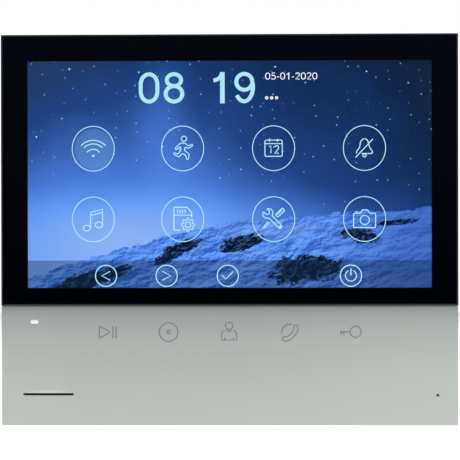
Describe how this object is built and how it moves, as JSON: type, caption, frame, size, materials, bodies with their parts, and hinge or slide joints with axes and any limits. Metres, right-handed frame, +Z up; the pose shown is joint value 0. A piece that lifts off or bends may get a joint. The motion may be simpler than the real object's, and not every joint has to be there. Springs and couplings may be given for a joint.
{
  "type": "video intercom monitor",
  "caption": "Flat indoor monitor for a door intercom: lit screen under black glass, silver touch-key panel, slim rear cover hung on a steel wall bracket.",
  "frame": {"origin": "centre of the wall bracket's four-screw pattern on the wall plane, behind the middle of the monitor", "axes": "+X to the right seen from the room, +Y into the wall, +Z up; the screen faces -Y"},
  "size_m": [0.174, 0.022, 0.149],
  "materials": {
    "zinc_steel": "zinc-plated sheet, satin",
    "module_steel": "thin pressed sheet, satin",
    "bright_steel": "bright plated",
    "dark_plastic": "fine spark texture",
    "silver_plastic": "silver paint, satin",
    "silver_panel": "satin silver sheet with thin grey printed key marks",
    "cover_glass": "polished",
    "black_print": "ink on the back of the glass",
    "black_tape": "adhesive tape",
    "clear_film": "optically clear laminate",
    "black_foam": "closed-cell foam",
    "lit_screen": "lit picture, deep blue night sky over a snow ridge",
    "white_sheet": "diffusing film",
    "clear_acrylic": "clear, polished edges",
    "white_board": "white solder resist",
    "milky_plastic": "translucent milky",
    "green_board": "green solder resist",
    "lamp_white": "lit white",
    "black_mesh": "fine woven cloth",
    "speaker_paper": "pressed paper",
    "magnet": "ferrite and plated yoke",
    "black_rubber": "moulded",
    "chip_black": "moulded epoxy",
    "heat_sink": "grey anodised",
    "coil_grey": "ferrite",
    "can_metal": "bright can",
    "black_cable": "thin insulated wire",
    "black_nylon": "moulded",
    "white_nylon": "natural nylon",
    "red_nylon": "red nylon",
    "tinned_pin": "tinned",
    "amber_film": "polyimide film",
    "card_black": "moulded, blank label",
    "label_silver": "blank foil label",
    "black_screw": "black oxide"
  },
  "bodies": {
    "wall_plate": {"wall_bracket": "zinc_steel"},
    "monitor": {"rear_cover": "dark_plastic", "front_frame": "silver_plastic", "cover_glass": "cover_glass", "border_print": "black_print", "glass_tape": "black_tape", "panel_tape": "black_tape", "touch_sensor": "clear_film", "screen_gasket": "black_foam", "screen_frame": "module_steel", "screen_cell": "lit_screen", "diffuser_sheets": "white_sheet", "light_guide": "clear_acrylic", "backlight_strip": "white_board", "screen_tray": "module_steel", "key_panel": "silver_panel", "key_light_guides": "milky_plastic", "key_board": "green_board", "key_lamps": "lamp_white", "status_light_pipe": "lamp_white", "slit_mesh": "black_mesh", "speaker_gasket": "black_foam", "speaker_basket": "module_steel", "speaker_cone": "speaker_paper", "speaker_magnet": "magnet", "microphone_boot": "black_rubber", "microphone": "module_steel", "chassis_plate": "module_steel", "main_board": "green_board", "processor": "chip_black", "heat_spreader": "heat_sink", "memory_chips": "chip_black", "power_coils": "coil_grey", "capacitors": "can_metal", "wifi_module": "module_steel", "aerial_board": "green_board", "aerial_cable": "black_cable", "backup_cell": "bright_steel", "cell_clip": "black_nylon", "card_socket": "bright_steel", "reset_switch": "black_nylon", "door_headers": "white_nylon", "camera_headers": "white_nylon", "link_header": "red_nylon", "power_header": "red_nylon", "header_pins": "tinned_pin", "screen_flex": "amber_film", "touch_flex": "amber_film", "key_ribbon": "amber_film", "board_sockets": "white_nylon", "speaker_leads": "black_cable", "microphone_leads": "black_cable", "wall_pads": "black_rubber", "rating_label": "label_silver", "case_screws": "black_screw", "board_screws": "bright_steel", "chassis_screws": "bright_steel"},
    "memory_card": {"memory_card": "card_black"},
    "reset_button": {"reset_button": "black_nylon"}
  },
  "joints": [
    {"name": "monitor_lift", "type": "slide", "parent": "wall_plate", "child": "monitor", "axis": [0, 0, 1], "range_m": [0, 0.007]},
    {"name": "card_slide", "type": "slide", "parent": "monitor", "child": "memory_card", "axis": [-1, 0, 0], "range_m": [-0.0006, 0.016]},
    {"name": "reset_press", "type": "slide", "parent": "monitor", "child": "reset_button", "axis": [1, 0, 0], "range_m": [0, 0.0004], "stiffness_N_per_m": 2500, "springref_m": -0.0002}
  ]
}
